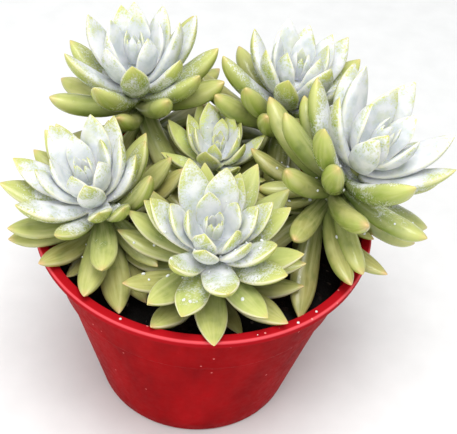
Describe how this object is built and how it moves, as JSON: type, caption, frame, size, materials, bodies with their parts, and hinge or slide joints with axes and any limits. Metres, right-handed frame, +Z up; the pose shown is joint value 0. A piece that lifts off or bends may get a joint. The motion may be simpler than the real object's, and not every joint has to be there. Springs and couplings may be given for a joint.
{
  "type": "potted rosette succulent",
  "caption": "Potted rosette succulent: fleshy pointed blue-green leaves in crowded rosettes on short stems, rooted in potting mix in a round tapered red plastic pot.",
  "frame": {"origin": "centre of the pot's flat underside", "axes": "+Z up, out of the pot; -Y towards the front rosette"},
  "size_m": [0.1772, 0.1586, 0.1594],
  "materials": {
    "pot": "moulded red plastic, satin",
    "potting_mix": "damp dark potting mix with bark and grit",
    "stem": "smooth fleshy olive stem",
    "young_leaf": "pale leaf under a white powdery bloom",
    "middle_leaf": "blue-green leaf with thin bloom and a pale edge",
    "old_leaf": "yellow-green fleshy leaf, soft sheen, pale edge and blushed tip"
  },
  "bodies": {
    "root": {"pot": "pot", "soil": "potting_mix", "front_stem": "stem", "front_bud": "young_leaf", "front_heart_leaves": "young_leaf", "front_inner_leaves": "young_leaf", "front_upper_leaves": "young_leaf", "front_middle_leaves": "middle_leaf", "front_outer_leaves": "middle_leaf", "front_lower_leaves": "old_leaf", "front_skirt_leaves": "old_leaf", "front_ground_leaves": "old_leaf", "left_stem": "stem", "left_bud": "young_leaf", "left_heart_leaves": "young_leaf", "left_inner_leaves": "young_leaf", "left_upper_leaves": "young_leaf", "left_middle_leaves": "middle_leaf", "left_outer_leaves": "middle_leaf", "left_lower_leaves": "old_leaf", "left_skirt_leaves": "old_leaf", "left_ground_leaves": "old_leaf", "back_left_stem": "stem", "back_left_bud": "young_leaf", "back_left_heart_leaves": "young_leaf", "back_left_inner_leaves": "young_leaf", "back_left_upper_leaves": "young_leaf", "back_left_middle_leaves": "middle_leaf", "back_left_outer_leaves": "middle_leaf", "back_left_lower_leaves": "old_leaf", "back_left_skirt_leaves": "old_leaf", "back_left_ground_leaves": "old_leaf", "back_right_stem": "stem", "back_right_bud": "young_leaf", "back_right_heart_leaves": "young_leaf", "back_right_inner_leaves": "young_leaf", "back_right_upper_leaves": "young_leaf", "back_right_middle_leaves": "middle_leaf", "back_right_outer_leaves": "middle_leaf", "back_right_lower_leaves": "old_leaf", "back_right_skirt_leaves": "old_leaf", "back_right_ground_leaves": "old_leaf", "right_stem": "stem", "right_bud": "young_leaf", "right_heart_leaves": "young_leaf", "right_inner_leaves": "young_leaf", "right_upper_leaves": "young_leaf", "right_middle_leaves": "middle_leaf", "right_outer_leaves": "middle_leaf", "right_lower_leaves": "old_leaf", "right_skirt_leaves": "old_leaf", "right_ground_leaves": "old_leaf", "middle_stem": "stem", "middle_bud": "young_leaf", "middle_heart_leaves": "young_leaf", "middle_inner_leaves": "young_leaf", "middle_upper_leaves": "young_leaf", "middle_middle_leaves": "middle_leaf", "middle_outer_leaves": "middle_leaf", "middle_lower_leaves": "old_leaf"}
  },
  "joints": []
}
